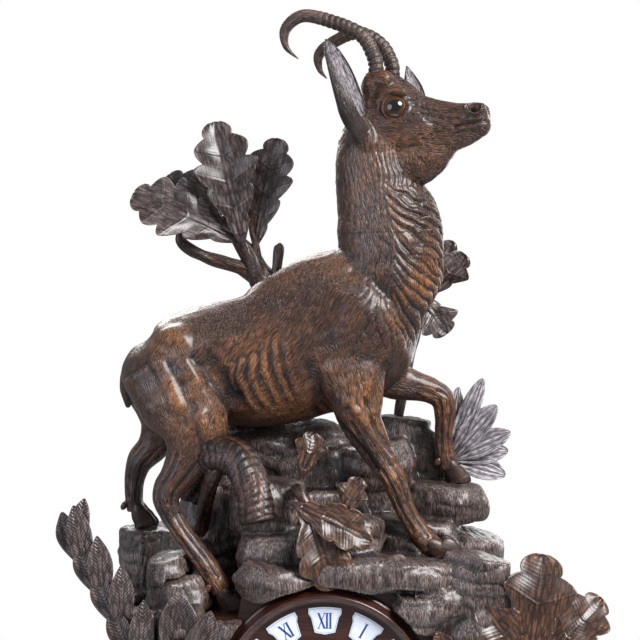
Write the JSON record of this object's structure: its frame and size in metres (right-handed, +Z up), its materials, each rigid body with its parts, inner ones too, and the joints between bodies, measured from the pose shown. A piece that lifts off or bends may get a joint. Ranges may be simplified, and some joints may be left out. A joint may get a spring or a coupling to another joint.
{
  "type": "mantel clock",
  "caption": "Carved mantel clock: a standing chamois on a rocky summit over a round dial with enamel numeral plaques, spring movement, pendulum, coil gong and back door.",
  "frame": {"origin": "centre of the base board's flat underside", "axes": "+Z up, +X to the right of the dial, -Y out of the dial"},
  "size_m": [0.44, 0.2, 0.6685],
  "materials": {
    "stained_wood": "carved lime wood, stained dark and varnished, satin",
    "rock_wood": "chip-carved lime wood, stained grey-brown, satin",
    "chamois_wood": "finely gouged walnut, stained reddish brown, satin varnish",
    "horn_wood": "turned and ringed pear wood, stained near black, satin",
    "leaf_wood": "thinly carved walnut leaves, stained dark, glossy varnish",
    "branch_wood": "carved walnut bark, stained, satin varnish",
    "dial_wood": "turned wood, stained dark red-brown, polished",
    "enamel": "white vitreous enamel on copper with blue numerals, glossy",
    "glass_eye": "amber glass eye with a dark pupil, polished",
    "bone": "carved bone, semi-matt",
    "brass": "lacquered clock brass, lightly brushed",
    "steel": "polished steel",
    "spring_steel": "blued spring steel",
    "iron": "black japanned cast iron"
  },
  "bodies": {
    "case": {"base_board": "stained_wood", "rock_case": "stained_wood", "summit_rocks": "rock_wood", "left_rocks": "rock_wood", "right_rocks": "rock_wood", "door_hinge": "brass", "door_pin": "steel", "button_screw": "steel", "dial_board": "dial_wood", "numeral_plaques": "enamel", "bezel": "dial_wood", "winding_eyelets": "brass", "front_plate": "brass", "back_plate": "brass", "pillars": "brass", "plate_nuts": "brass", "movement_screws": "steel", "suspension_cock": "brass", "gong_coil": "spring_steel", "gong_stand": "iron", "chamois": "chamois_wood", "horns": "horn_wood", "glass_eyes": "glass_eye", "oak_branch": "branch_wood", "oak_leaves": "leaf_wood", "chest_spray": "leaf_wood", "leaf_fan": "leaf_wood", "gnarled_branch": "branch_wood", "hanging_leaves": "leaf_wood", "left_spray": "leaf_wood", "right_spray": "leaf_wood"},
    "door": {"back_door": "stained_wood"},
    "button": {"door_button": "brass"},
    "hands": {"minute_hand": "bone", "hand_nut": "brass", "cannon_pinion": "brass"},
    "hour": {"hour_hand": "bone"},
    "minute_wheel": {"minute_wheel": "brass"},
    "going_arbor": {"going_barrel_arbor": "steel"},
    "going_barrel": {"going_barrel": "brass", "going_spring": "spring_steel"},
    "going_click": {"going_click": "steel"},
    "intermediate": {"intermediate_wheel": "brass"},
    "centre": {"centre_wheel": "brass"},
    "third": {"third_wheel": "brass"},
    "escape": {"escape_wheel": "brass"},
    "anchor": {"anchor": "steel"},
    "pendulum": {"pendulum_rod": "steel", "pendulum_bob": "brass", "rating_nut": "brass"},
    "strike_arbor": {"strike_barrel_arbor": "steel"},
    "strike_barrel": {"strike_barrel": "brass", "strike_spring": "spring_steel"},
    "strike_click": {"strike_click": "steel"},
    "second": {"strike_second_wheel": "brass"},
    "pin_wheel": {"pin_wheel": "brass"},
    "locking": {"locking_wheel": "brass"},
    "fly": {"fly": "brass"},
    "hammer": {"hammer": "steel"}
  },
  "joints": [
    {"name": "door_hinge", "type": "hinge", "parent": "case", "child": "door", "pos_m": [0.073, 0.0746, 0.145], "axis": [0, 0, 1], "range_deg": [-110, 0]},
    {"name": "door_button_turn", "type": "hinge", "parent": "case", "child": "button", "pos_m": [-0.077, 0.073, 0.145], "axis": [0, 1, 0], "range_deg": [0, 90]},
    {"name": "minute_hand_turn", "type": "hinge", "parent": "case", "child": "hands", "pos_m": [0, -0.084, 0.145], "axis": [0, 1, 0], "continuous": true},
    {"name": "minute_wheel_turn", "type": "hinge", "parent": "case", "child": "minute_wheel", "pos_m": [0, -0.058, 0.157], "axis": [0, 1, 0], "continuous": true},
    {"name": "hour_hand_turn", "type": "hinge", "parent": "case", "child": "hour", "pos_m": [0, -0.082, 0.145], "axis": [0, 1, 0], "continuous": true},
    {"name": "third_wheel_turn", "type": "hinge", "parent": "case", "child": "third", "pos_m": [0.00404, -0.044, 0.16007], "axis": [0, 1, 0], "continuous": true},
    {"name": "centre_wheel_turn", "type": "hinge", "parent": "case", "child": "centre", "pos_m": [0, -0.044, 0.145], "axis": [0, 1, 0], "continuous": true},
    {"name": "intermediate_wheel_turn", "type": "hinge", "parent": "case", "child": "intermediate", "pos_m": [0.01662, -0.044, 0.14743], "axis": [0, 1, 0], "continuous": true},
    {"name": "going_barrel_turn", "type": "hinge", "parent": "case", "child": "going_barrel", "pos_m": [0.022, -0.044, 0.128], "axis": [0, 1, 0], "continuous": true},
    {"name": "escape_wheel_turn", "type": "hinge", "parent": "case", "child": "escape", "pos_m": [0, -0.044, 0.17406], "axis": [0, 1, 0], "continuous": true},
    {"name": "going_winding", "type": "hinge", "parent": "case", "child": "going_arbor", "pos_m": [0.022, -0.06, 0.128], "axis": [0, 1, 0], "continuous": true},
    {"name": "going_click_lift", "type": "hinge", "parent": "case", "child": "going_click", "pos_m": [0.025, -0.06, 0.14], "axis": [0, 1, 0], "range_deg": [0, 20]},
    {"name": "pendulum_swing", "type": "hinge", "parent": "case", "child": "pendulum", "pos_m": [0, -0.018, 0.1883], "axis": [0, 1, 0], "range_deg": [-2.5, 2.5]},
    {"name": "anchor_rock", "type": "hinge", "parent": "case", "child": "anchor", "pos_m": [0, -0.044, 0.1883], "axis": [0, 1, 0], "range_deg": [-2.5, 2.5]},
    {"name": "locking_wheel_turn", "type": "hinge", "parent": "case", "child": "locking", "pos_m": [-0.02073, -0.044, 0.17581], "axis": [0, 1, 0], "continuous": true},
    {"name": "pin_wheel_turn", "type": "hinge", "parent": "case", "child": "pin_wheel", "pos_m": [-0.01864, -0.044, 0.16399], "axis": [0, 1, 0], "continuous": true},
    {"name": "strike_second_turn", "type": "hinge", "parent": "case", "child": "second", "pos_m": [-0.02059, -0.044, 0.14811], "axis": [0, 1, 0], "continuous": true},
    {"name": "strike_barrel_turn", "type": "hinge", "parent": "case", "child": "strike_barrel", "pos_m": [-0.022, -0.044, 0.128], "axis": [0, 1, 0], "continuous": true},
    {"name": "fly_turn", "type": "hinge", "parent": "case", "child": "fly", "pos_m": [-0.01193, -0.044, 0.17901], "axis": [0, 1, 0], "continuous": true},
    {"name": "strike_winding", "type": "hinge", "parent": "case", "child": "strike_arbor", "pos_m": [-0.022, -0.06, 0.128], "axis": [0, 1, 0], "continuous": true},
    {"name": "strike_click_lift", "type": "hinge", "parent": "case", "child": "strike_click", "pos_m": [-0.025, -0.06, 0.14], "axis": [0, 1, 0], "range_deg": [-20, 0]},
    {"name": "hammer_lift", "type": "hinge", "parent": "case", "child": "hammer", "pos_m": [-0.036, -0.044, 0.155], "axis": [0, 1, 0], "range_deg": [0, 8]}
  ],
  "couplings": [
    {"joint": "minute_wheel_turn", "follows": "minute_hand_turn", "ratio": -0.33333},
    {"joint": "hour_hand_turn", "follows": "minute_hand_turn", "ratio": 0.083333},
    {"joint": "centre_wheel_turn", "follows": "third_wheel_turn", "ratio": -0.083333},
    {"joint": "intermediate_wheel_turn", "follows": "third_wheel_turn", "ratio": 0.013889},
    {"joint": "going_barrel_turn", "follows": "third_wheel_turn", "ratio": -0.0019841},
    {"joint": "escape_wheel_turn", "follows": "third_wheel_turn", "ratio": -12},
    {"joint": "anchor_rock", "follows": "pendulum_swing", "ratio": 1},
    {"joint": "pin_wheel_turn", "follows": "locking_wheel_turn", "ratio": -0.11111},
    {"joint": "strike_second_turn", "follows": "locking_wheel_turn", "ratio": 0.012346},
    {"joint": "strike_barrel_turn", "follows": "locking_wheel_turn", "ratio": -0.0017637},
    {"joint": "fly_turn", "follows": "locking_wheel_turn", "ratio": -8}
  ]
}
